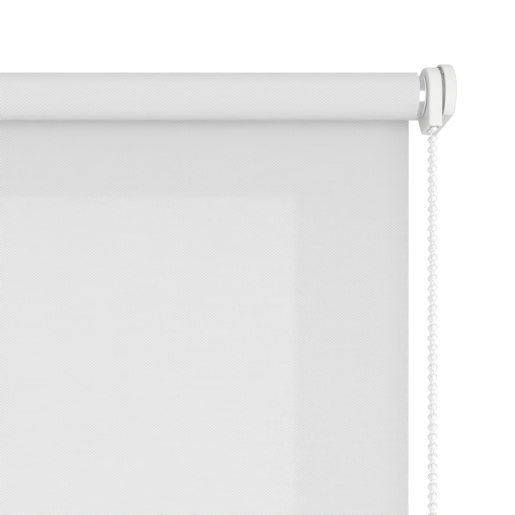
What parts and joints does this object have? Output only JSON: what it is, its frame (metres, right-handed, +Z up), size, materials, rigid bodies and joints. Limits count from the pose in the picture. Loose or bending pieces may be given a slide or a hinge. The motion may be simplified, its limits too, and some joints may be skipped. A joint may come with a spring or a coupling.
{
  "type": "roller blind",
  "caption": "Wall-mounted roller blind with a translucent fabric sheet, side chain clutch, bead chain loop, end brackets with covers and a weighted bottom rail.",
  "frame": {"origin": "in the wall plane, level with the roller's axis, at the centre of the rectangle of the four wall-screw holes", "axes": "+X along the roller towards the chain end, -Y out of the wall into the room, +Z up"},
  "size_m": [1.1941, 0.0536, 1.4343],
  "materials": {
    "white_plastic": "satin moulded",
    "pale_plastic": "matt moulded",
    "chain_plastic": "satin moulded",
    "clear_plastic": "smooth",
    "bracket_steel": "zinc plated",
    "bright_steel": "bright",
    "tube_aluminium": "mill finish",
    "rail_paint": "white powder coat",
    "blind_fabric": "plain light grey-white twill"
  },
  "bodies": {
    "brackets": {"control_bracket": "bracket_steel", "control_cover": "white_plastic", "chain_guard": "white_plastic", "guard_plate": "white_plastic", "clutch_axle": "pale_plastic", "axle_clip": "bright_steel", "axle_screw": "bright_steel", "idle_bush": "pale_plastic", "idle_bracket": "bracket_steel", "idle_cover": "white_plastic", "chain_on_wheel": "chain_plastic", "fabric_sheet": "blind_fabric"},
    "roller": {"drive_plug": "pale_plastic", "brake_spring_inner": "bright_steel", "brake_spring_outer": "bright_steel", "roller_tube": "tube_aluminium", "fabric_spline": "clear_plastic", "fabric_roll": "blind_fabric", "idle_plug": "pale_plastic", "pin_spring": "bright_steel"},
    "idle_pin": {"idle_pin": "bright_steel"},
    "chain_wheel": {"chain_wheel": "pale_plastic"},
    "bottom_bar": {"bottom_rail": "rail_paint", "rail_spline": "clear_plastic", "rail_end_cap_left": "white_plastic", "rail_end_cap_right": "white_plastic"},
    "chain": {"chain_loop": "chain_plastic", "chain_connector": "clear_plastic", "chain_stops": "chain_plastic"}
  },
  "joints": [
    {"name": "roller_turn", "type": "hinge", "parent": "brackets", "child": "roller", "pos_m": [0, -0.025, 0], "axis": [1, 0, 0], "range_deg": [0, 5040]},
    {"name": "wheel_turn", "type": "hinge", "parent": "brackets", "child": "chain_wheel", "pos_m": [0.5886, -0.025, 0], "axis": [1, 0, 0], "range_deg": [0, 5040]},
    {"name": "bar_travel", "type": "slide", "parent": "brackets", "child": "bottom_bar", "axis": [0, 0, 1], "range_m": [0, 1.29], "deforming": ["fabric_sheet"]},
    {"name": "pin_slide", "type": "slide", "parent": "roller", "child": "idle_pin", "axis": [1, 0, 0], "range_m": [0, 0.008], "stiffness_N_per_m": 250, "springref_m": -0.006, "deforming": ["pin_spring"]},
    {"name": "chain_swing", "type": "hinge", "parent": "brackets", "child": "chain", "pos_m": [0.58865, -0.03458, -0.0258], "axis": [1, 0, 0], "range_deg": [-20, 0.8]}
  ],
  "couplings": [
    {"joint": "wheel_turn", "follows": "roller_turn", "ratio": 1},
    {"joint": "bar_travel", "follows": "roller_turn", "m_per_rad": 0.01465}
  ]
}
